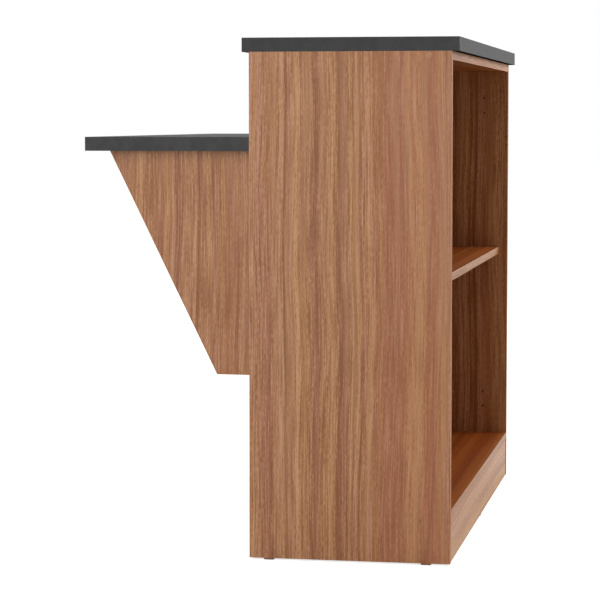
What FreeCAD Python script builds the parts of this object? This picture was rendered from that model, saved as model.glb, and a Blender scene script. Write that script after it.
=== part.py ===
import FreeCAD, Part

import math
import os
import re

import Sketcher

# Knock-down service counter in laminated board: a tall open cabinet with a thick worktop, and a lower
# desk top carried behind it on two tapered bracket panels.
#
# Frame: X runs along the counter, -Y is the open side of the cabinet, +Y is the desk side, +Z is up.
# The origin lies on the floor, under the middle of the whole counter's length and depth.

SIZES = [
    # overall form
    ("overall_length", 1050, "outside faces of the two side panels"),
    ("side_height", 900, "side panel, without glides and worktop"),
    ("side_depth", 360, "side panel, front to rear"),
    ("board_thickness", 15, "all carcass boards"),
    ("top_thickness", 25, "worktop and desk top"),
    ("front_overhang", 13, "worktop past the open side"),
    ("rear_overhang", 13, "worktop past the desk side"),
    ("band_thickness", 0.5, "glued edge band"),
    ("kick_height", 79, "board that closes the plinth"),
    ("kick_setback", 1, "kick board behind the front edges"),
    ("shelf_level", 503, "upper face of the shelf above the panel foot"),
    ("shelf_setback", 19, "shelf behind the front edges"),
    # desk
    ("desk_level", 750, "upper face of the desk top above the panel foot"),
    ("desk_reach", 300, "desk top past the carcass"),
    ("bracket_inset", 20, "bracket behind the side panel's outer face"),
    ("bracket_top_length", 259, "bracket along the desk top"),
    ("bracket_foot_length", 63, "bracket at its lower edge"),
    ("bracket_height", 400, "bracket, top to bottom"),
    # glides
    ("glide_length", 18, "glide along its board"),
    ("glide_width", 15, "glide across its board"),
    ("glide_height", 3, "glide under its board"),
    ("glide_taper", 12, "slope of the glide's sides in degrees"),
    ("front_glide_inset", 43, "front glide's centre from the front edge"),
    ("rear_glide_inset", 35, "rear glide's centre from the rear edge"),
    ("nail_diameter", 2, "nail moulded into the glide"),
    ("nail_length", 16, "nail in the board"),
    # hinge plate holes
    ("hinge_hole_diameter", 5, "hole for a hinge plate's euro screw"),
    ("hinge_hole_depth", 12, "blind hole"),
    ("hinge_hole_pitch", 32, "the two holes of one hinge plate"),
    ("hinge_line_inset", 52, "hole line from the front edge"),
    ("lower_hinge_level", 152, "lowest hole above the panel foot"),
    ("upper_hinge_level", 796, "lowest hole of the upper pair"),
    # cam fittings
    ("cam_diameter", 15, "cam housing"),
    ("cam_height", 12, "cam housing"),
    ("cam_recess", 0.3, "cam below the board's face"),
    ("cam_bore_depth", 12.5, "blind bore for the cam"),
    ("cam_reach", 24, "cam centre from the board's end"),
    ("cam_slot_length", 8, "driver cross in the cam"),
    ("cam_slot_width", 1.8, "driver cross in the cam"),
    ("cam_slot_depth", 2.5, "driver cross in the cam"),
    ("bolt_bore_diameter", 8, "bore in the board's end"),
    ("bolt_thread_diameter", 5, "bolt in the face of the other board"),
    ("bolt_thread_length", 10.5, "bolt in the face of the other board"),
    ("bolt_pilot_depth", 11, "blind bore for the thread"),
    ("bolt_shank_diameter", 6.4, "bolt along the end bore"),
    ("bolt_neck_diameter", 3.6, "neck that the cam grips"),
    ("bolt_neck_length", 4, "neck that the cam grips"),
    ("bolt_head_diameter", 6.4, "bolt head inside the cam"),
    ("bolt_head_length", 3, "bolt head inside the cam"),
    ("front_cam_inset", 60, "front cams from the front edge"),
    ("rear_cam_inset", 60, "rear cams from the closing panel"),
    ("low_closing_cam", 250, "closing panel's lower cams above the panel foot"),
    ("high_closing_cam", 700, "closing panel's upper cams above the panel foot"),
    ("near_desk_cam", 70, "desk cams from the carcass"),
    ("far_desk_cam", 185, "desk cams from the carcass"),
    ("kick_cam_drop", 22, "kick cam below the kick board's top"),
    # dowels
    ("dowel_diameter", 8, "beech dowel"),
    ("dowel_length", 30, "beech dowel"),
    ("dowel_face_depth", 10.5, "dowel bore in a board's face"),
    ("dowel_end_depth", 20.5, "dowel bore in a board's end"),
    ("kick_dowel_rise", 22, "kick dowel above the kick board's foot"),
    ("bracket_dowel_drop", 130, "bracket dowels from its upper and lower edges"),
    # carcass screws
    ("screw_head_diameter", 9.5, "sunk head of a carcass screw"),
    ("screw_head_height", 3.5, "sunk head of a carcass screw"),
    ("screw_collar_diameter", 6.8, "plain shank under the head"),
    ("screw_thread_diameter", 4.8, "core of the threaded part"),
    ("screw_length", 48, "carcass screw"),
    ("screw_bore_diameter", 7, "clearance bore in the outer board"),
    ("screw_pilot_diameter", 5, "bore in the inner board's end"),
    ("screw_pilot_depth", 35, "bore in the inner board's end"),
    ("front_screw_inset", 40, "carcass screw from the front edge"),
    ("bracket_screw_drop", 60, "bracket screws from its upper and lower edges"),
    ("desk_screw_inset", 170, "outer desk screws from the ends of the counter"),
    # screw caps
    ("cap_diameter", 11, "adhesive screw cap"),
    ("cap_thickness", 0.6, "adhesive screw cap"),
    # shelf pins
    ("pin_diameter", 5, "steel pin under the shelf"),
    ("pin_length", 21, "steel pin under the shelf"),
    ("pin_depth", 10, "pin in the side panel"),
    ("shelf_end_gap", 0.5, "shelf to each side panel"),
    # worktop screws
    ("top_screw_diameter", 3.8, "chipboard screw into the worktop"),
    ("top_screw_head_diameter", 7.4, "sunk head"),
    ("top_screw_head_height", 2.4, "sunk head"),
    ("top_screw_length", 32, "chipboard screw"),
    ("top_screw_bore_diameter", 4.4, "clearance bore in the carcass top"),
    ("top_screw_pilot_depth", 18, "bore in the worktop"),
    ("top_screw_end_inset", 175, "worktop screws from the ends of the counter"),
    # clearance
    ("fit_gap", 0.1, "between a fitting and its bore, all round"),
]

# Places worked out from the sizes. Each name stands for its formula wherever a formula uses it.
PLACES = {
    "half_length": "overall_length / 2",
    "half_board": "board_thickness / 2",
    "overall_depth": "front_overhang + side_depth + desk_reach",
    "carcass_front": "front_overhang - overall_depth / 2",
    "carcass_rear": "carcass_front + side_depth",
    "closing_face": "carcass_rear - board_thickness",
    "desk_edge": "carcass_rear + desk_reach",
    "side_face": "half_length - board_thickness",
    "foot": "glide_height",
    "base_bottom": "foot + kick_height",
    "shelf_bottom": "foot + shelf_level - board_thickness",
    "carcass_top_bottom": "foot + side_height - board_thickness",
    "counter_bottom": "foot + side_height",
    "desk_bottom": "foot + desk_level - top_thickness",
    "bracket_bottom": "desk_bottom - bracket_height",
    "bracket_middle": "half_length - bracket_inset - half_board",
    "bracket_lean": "(bracket_top_length - bracket_foot_length) / bracket_height",
    "slanted_band": "band_thickness * sqrt(1 + bracket_lean * bracket_lean)",
    "kick_middle": "carcass_front + kick_setback + half_board",
    "closing_middle": "carcass_rear - half_board",
    "front_cams": "carcass_front + front_cam_inset",
    "rear_cams": "closing_face - rear_cam_inset",
    "dowel_line": "(front_cams + rear_cams) / 2",
}

doc = FreeCAD.newDocument("service_counter")
sheet = doc.addObject("Spreadsheet::Sheet", "sizes")
for row, (alias, number, note) in enumerate(SIZES, start=1):
    sheet.set(f"A{row}", alias)
    sheet.set(f"B{row}", str(number))
    sheet.set(f"C{row}", note)
    sheet.setAlias(f"B{row}", alias)
doc.recompute()

ALIASES = {alias for alias, number, note in SIZES}
WORD = re.compile(r"[a-z_]+")


def formula(text):
    """Write a formula with names from SIZES and PLACES as a FreeCAD expression."""
    def spell_out(match):
        word = match.group(0)
        if word in ALIASES:
            return "sizes." + word
        if word in PLACES:
            return "(" + formula(PLACES[word]) + ")"
        return word
    return WORD.sub(spell_out, text)


def value(text):
    """Work a formula out to a number."""
    return float(sheet.evalExpression(formula(text)))


def bind(thing, prop, text):
    thing.setExpression(prop, formula(text))


# ---------------------------------------------------------------- sketches and features

def place(thing, x, y, z):
    bind(thing, "Placement.Base.x", x)
    bind(thing, "Placement.Base.y", y)
    bind(thing, "Placement.Base.z", z)


def new_body(label):
    body = doc.addObject("PartDesign::Body", label)
    body.Label = label
    return body


def new_sketch(body, name, plane, level="0"):
    """Put a sketch on one of the body's origin planes, moved along the plane's normal."""
    sketch = body.newObject("Sketcher::SketchObject", name)
    origin_plane = [item for item in body.Origin.OriginFeatures if item.Role == plane][0]
    sketch.AttachmentSupport = [(origin_plane, "")]
    sketch.MapMode = "FlatFace"
    bind(sketch, "AttachmentOffset.Base.z", level)
    return sketch


def hold(sketch, holds):
    """Add constraints, each given with the formula that drives it, or None."""
    first = sketch.ConstraintCount
    sketch.addConstraint([constraint for constraint, text in holds])
    for number, (constraint, text) in enumerate(holds, start=first):
        if text is not None:
            bind(sketch, f"Constraints[{number}]", text)


def at_point(item, end, across, up):
    """Constraints that hold one point of a sketch at formulas for its two coordinates."""
    return [(Sketcher.Constraint("DistanceX", -1, 1, item, end, value(across)), across),
            (Sketcher.Constraint("DistanceY", -1, 1, item, end, value(up)), up)]


def draw_outline(sketch, corners):
    """Draw a closed outline of straight lines through corners given as pairs of formulas."""
    points = [FreeCAD.Vector(value(across), value(up), 0) for across, up in corners]
    first = sketch.GeometryCount
    lines = []
    holds = []
    for number, (across, up) in enumerate(corners):
        following = (number + 1) % len(corners)
        lines.append(Part.LineSegment(points[number], points[following]))
        joint = Sketcher.Constraint("Coincident", first + number, 2, first + following, 1)
        holds.append((joint, None))
        holds += at_point(first + number, 1, across, up)
    sketch.addGeometry(lines)
    hold(sketch, holds)


def draw_circle(sketch, across, up, diameter):
    centre = FreeCAD.Vector(value(across), value(up), 0)
    radius = value(diameter) / 2
    item = sketch.addGeometry(Part.Circle(centre, FreeCAD.Vector(0, 0, 1), radius))
    holds = at_point(item, 3, across, up)
    holds.append((Sketcher.Constraint("Diameter", item, 2 * radius), diameter))
    hold(sketch, holds)


def draw_round(sketch, across, up, diameter, flats):
    """Draw a bore or a bar: a true circle, or a regular outline with a number of flats."""
    if flats is None:
        draw_circle(sketch, across, up, diameter)
        return
    corners = []
    for number in range(flats):
        angle = 2 * math.pi * (number + 0.5) / flats
        corners.append((f"{across} + {math.cos(angle):.9f} * ({diameter}) / 2",
                        f"{up} + {math.sin(angle):.9f} * ({diameter}) / 2"))
    draw_outline(sketch, corners)


def pad(body, sketch, name, length, downwards=False):
    feature = body.newObject("PartDesign::Pad", name)
    feature.Profile = sketch
    feature.Reversed = downwards
    bind(feature, "Length", length)
    return feature


# Hidden drillings and the fittings in them repeat by the dozen, so they are drawn with flats and
# stay light. A bore and what sits in it have as many flats, turned the same way, with an even gap.
HIDDEN_FLAT_COUNT = 8
DRUM_FLAT_COUNT = 16

AXES = "XYZ"
PLANES = {"X": "YZ_Plane", "Y": "XZ_Plane", "Z": "XY_Plane"}
NODES = []


def plate(label, flat_axis, outline, thickness, near):
    """Pad an outline into a flat piece whose lowest corner in X, Y and Z lies at near."""
    body = new_body(label)
    sketch = new_sketch(body, label + "_outline", PLANES[flat_axis])
    draw_outline(sketch, outline)
    # The XZ plane faces -Y, so a piece drawn on it is padded the other way, towards +Y.
    pad(body, sketch, label + "_pad", thickness, downwards=(flat_axis == "Y"))
    place(body, *near)
    return body


class Board:
    """A board between two opposite corners, drilled at places given in the counter's own frame."""

    def __init__(self, label, flat_axis, near, far, outline=None):
        self.near = dict(zip(AXES, near))
        self.far = dict(zip(AXES, far))
        across, up = [axis for axis in AXES if axis != flat_axis]
        if outline is None:
            width = f"{self.far[across]} - ({self.near[across]})"
            height = f"{self.far[up]} - ({self.near[up]})"
            outline = [("0", "0"), (width, "0"), (width, height), ("0", height)]
        thickness = f"{self.far[flat_axis]} - ({self.near[flat_axis]})"
        self.body = plate(label, flat_axis, outline, thickness, near)
        NODES.append(self.body)

    def drill(self, name, way, centres, diameter, depth=None, flats=HIDDEN_FLAT_COUNT):
        """Drill from the face that the way leads in from. With no depth the hole goes right through."""
        axis = way[1]
        forwards = way[0] == "+"
        entry = (self.near if forwards else self.far)[axis]
        across, up = [other for other in AXES if other != axis]
        # The XZ plane faces -Y, so there the level counts backwards and a plain pocket cuts to +Y.
        turned = axis == "Y"
        level = f"{entry} - ({self.near[axis]})"
        sketch = new_sketch(self.body, name, PLANES[axis], f"-({level})" if turned else level)
        for first, second in centres:
            draw_round(sketch, f"{first} - ({self.near[across]})",
                       f"{second} - ({self.near[up]})", diameter, flats)
        pocket = self.body.newObject("PartDesign::Pocket", name + "_bore")
        pocket.Profile = sketch
        pocket.Reversed = forwards != turned
        if depth is None:
            pocket.Type = "ThroughAll"
        else:
            bind(pocket, "Length", depth)


def strip(label, pieces):
    """Edge bands glued to one board: each piece lies between two opposite corners."""
    boxes = []
    for number, (near, far) in enumerate(pieces, start=1):
        box = doc.addObject("Part::Box", f"{label}_{number}")
        for prop, low, high in zip(("Length", "Width", "Height"), near, far):
            bind(box, prop, f"{high} - ({low})")
        place(box, *near)
        boxes.append(box)
    if len(boxes) == 1:
        whole = boxes[0]
    else:
        whole = doc.addObject("Part::Compound", label)
        whole.Links = boxes
    whole.Label = label
    NODES.append(whole)


def mirrored(side, text):
    """The same distance on the right (side 1) or the left (side -1) of the middle."""
    return f"{side} * ({text})"


def span(side, low, high):
    """A stretch of X on one side of the middle, lower end first."""
    ends = [mirrored(side, low), mirrored(side, high)]
    return ends if side > 0 else ends[::-1]


OUTWARDS = {-1: "-X", 1: "+X"}
INWARDS = {-1: "+X", 1: "-X"}
SIDES = {-1: "left", 1: "right"}

# ---------------------------------------------------------------- where the fittings go

# Cams that draw the ends of a board against the side panels: their places as Y and Z of the bolt,
# and the way that the open face of the cam looks.
END_CAMS = {
    "base_board": ("-Z", [("front_cams", "base_bottom + half_board"),
                          ("rear_cams", "base_bottom + half_board")]),
    "carcass_top": ("+Z", [("rear_cams", "carcass_top_bottom + half_board")]),
    "closing_panel": ("-Y", [("closing_middle", "foot + low_closing_cam"),
                             ("closing_middle", "foot + high_closing_cam")]),
    "kick_board": ("+Y", [("kick_middle", "base_bottom - kick_cam_drop")]),
}

# Dowels between the ends of a board and the side panels, as Y and Z.
END_DOWELS = {
    "carcass_top": [("dowel_line", "carcass_top_bottom + half_board")],
    "closing_panel": [("closing_middle", "foot + (low_closing_cam + high_closing_cam) / 2")],
    "kick_board": [("kick_middle", "foot + kick_dowel_rise")],
}

TOP_SCREW_SEAT = ("carcass_front + front_screw_inset", "carcass_top_bottom + half_board")
BRACKET_SCREWS = ["desk_bottom - bracket_screw_drop", "bracket_bottom + bracket_screw_drop"]
BRACKET_DOWELS = ["desk_bottom - bracket_dowel_drop", "bracket_bottom + bracket_dowel_drop"]
DESK_CAMS = ["carcass_rear + near_desk_cam", "carcass_rear + far_desk_cam"]
DESK_SCREWS = ["-(half_length - desk_screw_inset)", "0", "half_length - desk_screw_inset"]
DESK_SCREW_LEVEL = "desk_bottom + top_thickness / 2"
WORKTOP_SCREWS = [(x, y) for x in ("-(half_length - top_screw_end_inset)", "0",
                                   "half_length - top_screw_end_inset")
                  for y in ("front_cams", "rear_cams")]
HINGE_HOLES = [("carcass_front + hinge_line_inset", f"foot + {level} + {step} * hinge_hole_pitch")
               for level in ("lower_hinge_level", "upper_hinge_level") for step in (0, 1)]
SHELF_PINS = [(y, "shelf_bottom - pin_diameter / 2") for y in ("front_cams", "rear_cams")]
GLIDE_LINES = ["carcass_front + front_glide_inset", "carcass_rear - rear_glide_inset"]

# ---------------------------------------------------------------- carcass boards

END_CAM_PLACES = [spot for way, spots in END_CAMS.values() for spot in spots]
END_DOWEL_PLACES = [spot for spots in END_DOWELS.values() for spot in spots]


def make_side_panel(side):
    """Upright panel. All its drilling is in the inner face, apart from one screw and the nails."""
    name = SIDES[side] + "_side"
    low, high = span(side, "side_face", "half_length")
    panel = Board(name + "_panel", "X",
                  (low, "carcass_front + band_thickness", "foot"),
                  (high, "carcass_rear", "counter_bottom"))
    out = OUTWARDS[side]
    panel.drill(name + "_bolts", out, END_CAM_PLACES, "bolt_thread_diameter", "bolt_pilot_depth")
    panel.drill(name + "_dowels", out, END_DOWEL_PLACES, "dowel_diameter", "dowel_face_depth")
    panel.drill(name + "_hinges", out, HINGE_HOLES, "hinge_hole_diameter", "hinge_hole_depth",
                flats=None)
    panel.drill(name + "_pins", out, SHELF_PINS, "pin_diameter + 2 * fit_gap",
                "pin_depth + fit_gap", flats=DRUM_FLAT_COUNT)
    panel.drill(name + "_screw", out, [TOP_SCREW_SEAT], "screw_bore_diameter")
    panel.drill(name + "_screw_head", INWARDS[side], [TOP_SCREW_SEAT],
                "screw_head_diameter + 2 * fit_gap", "screw_head_height")
    middle = mirrored(side, "half_length - half_board")
    panel.drill(name + "_nails", "+Z", [(middle, line) for line in GLIDE_LINES],
                "nail_diameter + 2 * fit_gap", "nail_length + fit_gap")
    strip(name + "_band", [((low, "carcass_front", "foot"),
                            (high, "carcass_front + band_thickness", "counter_bottom"))])


def drill_ends(piece, name):
    """Drill a board that stands between the side panels for its cams, bolts and dowels."""
    way, spots = END_CAMS[name]
    drill_way = ("-" if way[0] == "+" else "+") + way[1]
    for side, word in SIDES.items():
        piece.drill(f"{name}_{word}_bolts", INWARDS[side], spots, "bolt_bore_diameter", "cam_reach")
        if name in END_DOWELS:
            piece.drill(f"{name}_{word}_dowels", INWARDS[side], END_DOWELS[name],
                        "dowel_diameter", "dowel_end_depth")
    centres = []
    for side in SIDES:
        across = mirrored(side, "side_face - cam_reach")
        for y, z in spots:
            centres.append((across, z if way[1] == "Y" else y))
    piece.drill(name + "_cams", drill_way, centres, "cam_diameter", "cam_bore_depth",
                flats=DRUM_FLAT_COUNT)


def make_level_board(name, front, bottom, end="side_face"):
    """Horizontal board between the side panels, banded along its front edge."""
    top = f"{bottom} + board_thickness"
    piece = Board(name, "Z", (f"-({end})", f"{front} + band_thickness", bottom),
                  (end, "closing_face", top))
    if name in END_CAMS:
        drill_ends(piece, name)
    strip(name + "_band", [((f"-({end})", front, bottom),
                            (end, f"{front} + band_thickness", top))])
    return piece


def make_carcass_top():
    """Board under the worktop: also takes the front screws and lets the worktop's screws through."""
    piece = make_level_board("carcass_top", "carcass_front", "carcass_top_bottom")
    for side, word in SIDES.items():
        piece.drill(f"carcass_top_{word}_screw", INWARDS[side], [TOP_SCREW_SEAT],
                    "screw_pilot_diameter", "screw_pilot_depth")
    piece.drill("carcass_top_worktop_screws", "+Z", WORKTOP_SCREWS, "top_screw_bore_diameter")
    piece.drill("carcass_top_screw_heads", "+Z", WORKTOP_SCREWS,
                "top_screw_head_diameter + 2 * fit_gap", "top_screw_head_height")


def make_closing_panel():
    """Upright panel on the desk side. The brackets and the desk top are screwed and pegged to it."""
    panel = Board("closing_panel", "Y", ("-(side_face)", "closing_face", "foot"),
                  ("side_face", "carcass_rear", "counter_bottom"))
    drill_ends(panel, "closing_panel")
    brackets = [mirrored(side, "bracket_middle") for side in SIDES]
    pegs = [(x, z) for x in brackets for z in BRACKET_DOWELS]
    screws = [(x, z) for x in brackets for z in BRACKET_SCREWS]
    screws += [(x, DESK_SCREW_LEVEL) for x in DESK_SCREWS]
    panel.drill("closing_panel_pegs", "-Y", pegs, "dowel_diameter", "dowel_face_depth")
    panel.drill("closing_panel_screws", "+Y", screws, "screw_bore_diameter")
    panel.drill("closing_panel_screw_heads", "+Y", screws,
                "screw_head_diameter + 2 * fit_gap", "screw_head_height")
    panel.drill("closing_panel_nail", "+Z", [("0", "closing_middle")],
                "nail_diameter + 2 * fit_gap", "nail_length + fit_gap")


def make_kick_board():
    board = Board("kick_board", "Y", ("-(side_face)", "carcass_front + kick_setback", "foot"),
                  ("side_face", "carcass_front + kick_setback + board_thickness", "base_bottom"))
    drill_ends(board, "kick_board")
    board.drill("kick_board_nail", "+Z", [("0", "kick_middle")],
                "nail_diameter + 2 * fit_gap", "nail_length + fit_gap")


# ---------------------------------------------------------------- worktop, desk top and brackets

def make_worktop():
    low = ("-(half_length)", "carcass_front - front_overhang", "counter_bottom")
    high = ("half_length", "carcass_rear + rear_overhang", "counter_bottom + top_thickness")
    near = [f"{text} + band_thickness" for text in low[:2]] + [low[2]]
    far = [f"{text} - band_thickness" for text in high[:2]] + [high[2]]
    piece = Board("counter_top", "Z", near, far)
    piece.drill("counter_top_screws", "+Z", WORKTOP_SCREWS, "top_screw_diameter + 2 * fit_gap",
                "top_screw_pilot_depth")
    # The two short bands go on first and the long ones cover their ends.
    strip("counter_top_bands", [
        ((low[0], near[1], low[2]), (near[0], far[1], high[2])),
        ((far[0], near[1], low[2]), (high[0], far[1], high[2])),
        (low, (high[0], near[1], high[2])),
        ((low[0], far[1], low[2]), high),
    ])


def make_desk_top():
    """Desk top: banded on its two ends and its outer edge, and butted to the carcass behind."""
    low = ("-(half_length)", "carcass_rear", "desk_bottom")
    high = ("half_length", "desk_edge", "desk_bottom + top_thickness")
    near = [f"{low[0]} + band_thickness", low[1], low[2]]
    far = [f"{text} - band_thickness" for text in high[:2]] + [high[2]]
    piece = Board("desk_top", "Z", near, far)
    bolts = [(mirrored(side, "bracket_middle"), y) for side in SIDES for y in DESK_CAMS]
    piece.drill("desk_top_bolts", "+Z", bolts, "bolt_thread_diameter", "bolt_pilot_depth")
    piece.drill("desk_top_screws", "+Y", [(x, DESK_SCREW_LEVEL) for x in DESK_SCREWS],
                "screw_pilot_diameter", "screw_pilot_depth")
    strip("desk_top_bands", [
        (low, (near[0], far[1], high[2])),
        ((far[0], low[1], low[2]), (high[0], far[1], high[2])),
        ((low[0], far[1], low[2]), high),
    ])


# The bracket's edges in Y and Z from its lower rear corner: the board, and the bands that cover its
# foot and its slanted edge and bring it to its full size.
BAND_CORNER = ("bracket_foot_length - slanted_band + bracket_lean * band_thickness", "band_thickness")
BRACKET_CORNERS = [("0", "band_thickness"), BAND_CORNER,
                   ("bracket_top_length - slanted_band", "bracket_height"), ("0", "bracket_height")]
FOOT_BAND_CORNERS = [("0", "0"), ("bracket_foot_length - slanted_band", "0"), BAND_CORNER,
                     ("0", "band_thickness")]
SLANTED_BAND_CORNERS = [("bracket_foot_length - slanted_band", "0"), ("bracket_foot_length", "0"),
                        ("bracket_top_length", "bracket_height"),
                        ("bracket_top_length - slanted_band", "bracket_height")]


def make_bracket(side):
    """Tapered bracket panel: full length under the desk top, narrow at its foot."""
    name = SIDES[side] + "_bracket"
    low, high = span(side, "half_length - bracket_inset - board_thickness",
                     "half_length - bracket_inset")
    near = (low, "carcass_rear", "bracket_bottom")
    far = (high, "carcass_rear + bracket_top_length", "desk_bottom")
    panel = Board(name, "X", near, far, outline=BRACKET_CORNERS)
    middle = mirrored(side, "bracket_middle")
    panel.drill(name + "_pegs", "+Y", [(middle, z) for z in BRACKET_DOWELS],
                "dowel_diameter", "dowel_end_depth")
    panel.drill(name + "_screws", "+Y", [(middle, z) for z in BRACKET_SCREWS],
                "screw_pilot_diameter", "screw_pilot_depth")
    panel.drill(name + "_bolts", "-Z", [(middle, y) for y in DESK_CAMS],
                "bolt_bore_diameter", "cam_reach")
    panel.drill(name + "_cams", OUTWARDS[side], [(y, "desk_bottom - cam_reach") for y in DESK_CAMS],
                "cam_diameter", "cam_bore_depth", flats=DRUM_FLAT_COUNT)
    bands = doc.addObject("Part::Compound", name + "_bands")
    bands.Label = name + "_bands"
    bands.Links = [
        plate(name + "_foot_band", "X", FOOT_BAND_CORNERS, "board_thickness", near),
        plate(name + "_slanted_band", "X", SLANTED_BAND_CORNERS, "board_thickness", near),
    ]
    NODES.append(bands)


# ---------------------------------------------------------------- fittings, each made once

def stepped_part(label, steps, flats=HIDDEN_FLAT_COUNT):
    """Build a bar along X from steps given as start, end and diameter."""
    body = new_body(label)
    for number, (start, end, diameter) in enumerate(steps, start=1):
        sketch = new_sketch(body, f"{label}_step_{number}", "YZ_Plane", start)
        draw_round(sketch, "0", "0", diameter, flats)
        pad(body, sketch, f"{label}_pad_{number}", f"{end} - ({start})")
    return body


def make_cam_bolt():
    """Steel bolt: threaded into a board's face at -X, its head held in the cam at +X."""
    neck_start = "cam_reach - bolt_head_length - bolt_neck_length"
    head_start = "cam_reach - bolt_head_length"
    return stepped_part("cam_bolt", [
        ("-bolt_thread_length", "0", "bolt_thread_diameter - 2 * fit_gap"),
        ("0", neck_start, "bolt_shank_diameter"),
        (neck_start, head_start, "bolt_neck_diameter"),
        (head_start, "cam_reach", "bolt_head_diameter"),
    ])


def make_cam():
    """Cam housing: a drum with a throat for the bolt's head and a cross for the screwdriver."""
    body = new_body("cam_lock")
    top = "half_board - cam_recess"
    disc = new_sketch(body, "cam_lock_disc", "XY_Plane", top)
    draw_round(disc, "cam_reach", "0", "cam_diameter - 2 * fit_gap", DRUM_FLAT_COUNT)
    pad(body, disc, "cam_lock_drum", "cam_height", downwards=True)
    throat = new_sketch(body, "cam_lock_throat", "YZ_Plane", "cam_reach + 2 * fit_gap")
    draw_round(throat, "0", "0", "bolt_head_diameter + 4 * fit_gap", HIDDEN_FLAT_COUNT)
    mouth = body.newObject("PartDesign::Pocket", "cam_lock_mouth")
    mouth.Profile = throat
    bind(mouth, "Length", "cam_diameter")
    cross = new_sketch(body, "cam_lock_cross", "XY_Plane", top)
    out = "cam_slot_length / 2"
    half = "cam_slot_width / 2"
    corners = []
    for ahead, aside in ((1, 0), (0, 1), (-1, 0), (0, -1)):
        for far, off in ((out, f"-{half}"), (out, half), (half, half)):
            corners.append((f"cam_reach + {ahead} * ({far}) - {aside} * ({off})",
                            f"{aside} * ({far}) + {ahead} * ({off})"))
    draw_outline(cross, corners)
    recess = body.newObject("PartDesign::Pocket", "cam_lock_recess")
    recess.Profile = cross
    bind(recess, "Length", "cam_slot_depth")
    return body


def make_dowel():
    """Beech dowel lying along X, its short end in the face of a board at -X."""
    start = "-(dowel_face_depth - fit_gap)"
    return stepped_part("dowel", [
        (start, f"dowel_length + ({start})", "dowel_diameter - 2 * fit_gap"),
    ])


def make_carcass_screw():
    """One-piece carcass screw along +X, its head flush with the outer face at 0."""
    return stepped_part("carcass_screw", [
        ("0", "screw_head_height", "screw_head_diameter"),
        ("screw_head_height", "board_thickness", "screw_collar_diameter"),
        ("board_thickness", "screw_length", "screw_thread_diameter"),
    ])


def make_worktop_screw():
    """Chipboard screw along +X, its head sunk in the face at 0."""
    return stepped_part("worktop_screw", [
        ("0", "top_screw_head_height", "top_screw_head_diameter"),
        ("top_screw_head_height", "top_screw_length", "top_screw_diameter"),
    ])


def make_shelf_pin():
    """Plain steel pin along +X, its seated end at -X in the side panel."""
    return stepped_part("shelf_pin", [("-pin_depth", "pin_length - pin_depth", "pin_diameter")],
                        flats=DRUM_FLAT_COUNT)


def make_glide_nail():
    """Nail driven up along +X out of the glide."""
    return stepped_part("nail", [("0", "nail_length", "nail_diameter")])


def make_cap():
    """Adhesive cap with a bevelled rim, stuck to a face at 0 and rising towards -X."""
    body = new_body("screw_cap")
    sketch = new_sketch(body, "screw_cap_profile", "XZ_Plane")
    draw_outline(sketch, [("0", "0"), ("-cap_thickness", "0"),
                          ("-cap_thickness", "cap_diameter / 2 - cap_thickness"),
                          ("0", "cap_diameter / 2")])
    turning = body.newObject("PartDesign::Revolution", "screw_cap_turning")
    turning.Profile = sketch
    turning.ReferenceAxis = (sketch, ["H_Axis"])
    turning.Angle = 360
    return body


def make_glide():
    """Moulded glide hanging below 0, drawn in towards the floor on all sides."""
    body = new_body("glide")
    sketch = new_sketch(body, "glide_outline", "XY_Plane")
    half_wide = "glide_width / 2"
    half_long = "glide_length / 2"
    draw_outline(sketch, [(f"-({half_wide})", f"-({half_long})"), (half_wide, f"-({half_long})"),
                          (half_wide, half_long), (f"-({half_wide})", half_long)])
    drop = pad(body, sketch, "glide_pad", "glide_height", downwards=True)
    bind(drop, "TaperAngle", "-glide_taper")
    return body


# ---------------------------------------------------------------- fittings in their places

DIRECTIONS = {"+X": (1, 0, 0), "-X": (-1, 0, 0), "+Y": (0, 1, 0), "-Y": (0, -1, 0),
              "+Z": (0, 0, 1), "-Z": (0, 0, -1)}


def seat(x, y, z, way, face="+Z"):
    """A place in the counter's frame, with the fitting's X turned one way and its Z another."""
    along = FreeCAD.Vector(*DIRECTIONS[way])
    up = FreeCAD.Vector(*DIRECTIONS[face])
    point = FreeCAD.Vector(value(x), value(y), value(z))
    return FreeCAD.Placement(point, FreeCAD.Rotation(along, up.cross(along), up, "XZY"))


def set_out(label, fitting, seats):
    """Put copies of one fitting in all its places, as separate solids of one sub-part."""
    copies = []
    for spot in seats:
        copy = fitting.Shape.copy()
        copy.Placement = spot
        copies.append(copy)
    group = doc.addObject("Part::Feature", label)
    group.Label = label
    group.Shape = Part.makeCompound(copies)
    NODES.append(group)


def cam_seats():
    seats = []
    for face, spots in END_CAMS.values():
        for side in SIDES:
            for y, z in spots:
                seats.append(seat(mirrored(side, "side_face"), y, z, INWARDS[side], face))
    for side in SIDES:
        for y in DESK_CAMS:
            seats.append(seat(mirrored(side, "bracket_middle"), y, "desk_bottom", "-Z",
                              INWARDS[side]))
    return seats


def dowel_seats():
    seats = []
    for side in SIDES:
        for spots in END_DOWELS.values():
            for y, z in spots:
                seats.append(seat(mirrored(side, "side_face"), y, z, INWARDS[side]))
        for z in BRACKET_DOWELS:
            seats.append(seat(mirrored(side, "bracket_middle"), "carcass_rear", z, "+Y"))
    return seats


def carcass_screw_seats():
    seats = []
    for side in SIDES:
        seats.append(seat(mirrored(side, "half_length"), *TOP_SCREW_SEAT, INWARDS[side]))
        for z in BRACKET_SCREWS:
            seats.append(seat(mirrored(side, "bracket_middle"), "closing_face", z, "+Y"))
    for x in DESK_SCREWS:
        seats.append(seat(x, "closing_face", DESK_SCREW_LEVEL, "+Y"))
    return seats


def shelf_pin_seats():
    return [seat(mirrored(side, "side_face"), y, z, INWARDS[side]) for side in SIDES
            for y, z in SHELF_PINS]


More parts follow.
